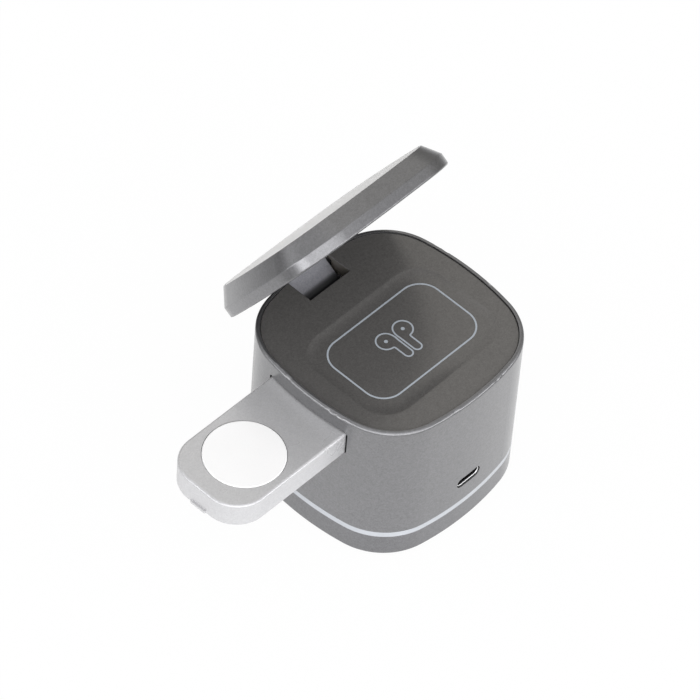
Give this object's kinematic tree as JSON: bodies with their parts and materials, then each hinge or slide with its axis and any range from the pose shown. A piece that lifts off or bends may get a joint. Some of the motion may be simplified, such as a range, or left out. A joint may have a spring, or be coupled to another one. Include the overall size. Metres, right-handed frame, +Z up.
{
  "type": "wireless charger",
  "caption": "Folding cube charger: soft-square body with a lit foot band, a tilting lid with a phone pad, a dished earbud rest and a pull-out watch drawer.",
  "frame": {"origin": "centre of the foot pad's underside, on the table", "axes": "+X the way the drawer slides out, +Y towards the power socket, +Z up"},
  "size_m": [0.1076, 0.0764, 0.1032],
  "materials": {
    "body_paint": "satin metallic grey paint on moulded plastic",
    "deck_plastic": "fine textured dark grey plastic",
    "ring_diffuser": "milky light diffuser",
    "foot_rubber": "matt rubber",
    "plate_steel": "plain sheet steel",
    "circuit_board": "solder-masked board",
    "chip_resin": "black resin",
    "lamp_resin": "clear lamp resin",
    "inductor_block": "pressed powder",
    "can_aluminium": "drawn can",
    "socket_steel": "bright drawn steel",
    "socket_resin": "black insulator",
    "chassis_plastic": "plain moulded plastic",
    "hinge_steel": "bright steel",
    "washer_resin": "low-friction resin",
    "arm_paint": "satin grey paint",
    "coil_copper": "enamelled copper winding",
    "ferrite_sheet": "sintered sheet",
    "magnet_nickel": "nickel plate",
    "screw_steel": "zinc plate",
    "pad_white": "soft-touch white plastic",
    "drawer_silver": "satin silver paint on moulded plastic",
    "puck_white": "smooth white plastic"
  },
  "bodies": {
    "base": {"main_housing": "body_paint", "top_deck": "deck_plastic", "light_ring": "ring_diffuser", "lamp_board": "circuit_board", "ring_lamps": "lamp_resin", "base_cover": "body_paint", "foot_pad": "foot_rubber", "ballast_plate": "plate_steel", "main_board": "circuit_board", "board_chips": "chip_resin", "board_inductors": "inductor_block", "board_capacitors": "can_aluminium", "socket_shell": "socket_steel", "socket_tongue": "socket_resin", "inner_chassis": "chassis_plastic", "hinge_bracket": "hinge_steel", "bracket_screws": "screw_steel", "hinge_pin": "hinge_steel", "friction_washers": "washer_resin", "earbud_coil": "coil_copper", "earbud_ferrite": "ferrite_sheet", "base_screws": "screw_steel", "chassis_screws": "screw_steel"},
    "lid": {"lid_frame": "body_paint", "lid_pad": "pad_white", "lid_underside": "deck_plastic", "hinge_arm": "arm_paint", "arm_screws": "screw_steel", "phone_coil": "coil_copper", "phone_ferrite": "ferrite_sheet", "magnet_ring": "magnet_nickel"},
    "drawer": {"drawer_shell": "drawer_silver", "drawer_floor": "drawer_silver", "drawer_board": "circuit_board", "drawer_screws": "screw_steel", "watch_puck": "puck_white", "watch_coil": "coil_copper", "watch_magnet": "magnet_nickel", "watch_ferrite": "ferrite_sheet"}
  },
  "joints": [
    {"name": "lid_hinge", "type": "hinge", "parent": "base", "child": "lid", "pos_m": [0, -0.02805, 0.04505], "axis": [1, 0, 0], "range_deg": [-58, 0]},
    {"name": "drawer_slide", "type": "slide", "parent": "base", "child": "drawer", "axis": [1, 0, 0], "range_m": [-0.041, 0]}
  ]
}
